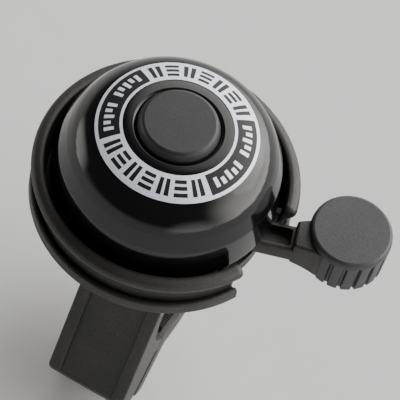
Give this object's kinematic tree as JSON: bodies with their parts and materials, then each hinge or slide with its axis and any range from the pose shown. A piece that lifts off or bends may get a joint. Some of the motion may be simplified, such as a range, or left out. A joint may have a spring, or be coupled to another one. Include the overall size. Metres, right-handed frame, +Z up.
{
  "type": "bicycle bell",
  "caption": "Thumb-lever handlebar bell: glossy dome on a round open-rimmed base, sprung lever with inner hammer, and a hinged screw clamp.",
  "frame": {"origin": "on the handlebar's axis, under the middle of the dome", "axes": "+X along the handlebar towards the lever, +Z up the dome's axis"},
  "size_m": [0.0576, 0.0428, 0.0607],
  "materials": {
    "moulded_plastic": "fine moulded grain",
    "satin_plastic": "satin moulded",
    "gloss_black": "gloss black enamel on steel",
    "printed_foil": "satin silver print with dark marks",
    "zinc_steel": "bright zinc",
    "spring_steel": "drawn spring steel",
    "rubber": "matt black rubber",
    "nylon": "natural nylon"
  },
  "bodies": {
    "base": {"clamp_bracket": "moulded_plastic", "jaw_hinge_pin": "zinc_steel", "bar_pad_upper": "rubber", "clamp_nut": "zinc_steel", "base_housing": "moulded_plastic", "housing_screw_1": "zinc_steel", "housing_screw_2": "zinc_steel", "housing_screw_3": "zinc_steel", "stop_bumper": "rubber", "centre_bolt": "zinc_steel", "post_sleeve": "zinc_steel", "dome_seat": "nylon", "dome": "gloss_black", "dome_washer": "zinc_steel", "dome_nut": "zinc_steel", "cap": "satin_plastic", "label_ring": "printed_foil", "lever_pin": "zinc_steel", "lever_washer": "zinc_steel", "lever_clip": "spring_steel"},
    "lever": {"lever": "moulded_plastic", "thumb_knob": "satin_plastic", "leaf_rivet_1": "zinc_steel", "leaf_rivet_2": "zinc_steel", "return_spring": "spring_steel", "hammer_leaf": "spring_steel"},
    "hammer": {"striker": "zinc_steel"},
    "jaw": {"clamp_jaw": "moulded_plastic", "bar_pad_lower": "rubber", "clamp_washer": "zinc_steel"},
    "screw": {"clamp_screw": "zinc_steel"}
  },
  "joints": [
    {"name": "lever_swing", "type": "hinge", "parent": "base", "child": "lever", "pos_m": [0.008, -0.003, 0.021], "axis": [0, 0, -1], "range_deg": [0, 28], "stiffness_Nm_per_rad": 0.05, "springref_deg": -28.65, "deforming": ["return_spring"]},
    {"name": "hammer_flex", "type": "hinge", "parent": "lever", "child": "hammer", "pos_m": [0.00481, 0.00368, 0.0245], "axis": [0, 0, -1], "range_deg": [-4, 4], "stiffness_Nm_per_rad": 0.001, "deforming": ["hammer_leaf"]},
    {"name": "jaw_hinge", "type": "hinge", "parent": "base", "child": "jaw", "pos_m": [0.0022, 0.01106, 0.01318], "axis": [1, 0, 0], "range_deg": [0, 65]},
    {"name": "clamp_screw_turn", "type": "hinge", "parent": "jaw", "child": "screw", "pos_m": [0.0022, -0.01273, -0.01517], "axis": [0, 0.766, -0.6428], "continuous": true}
  ]
}
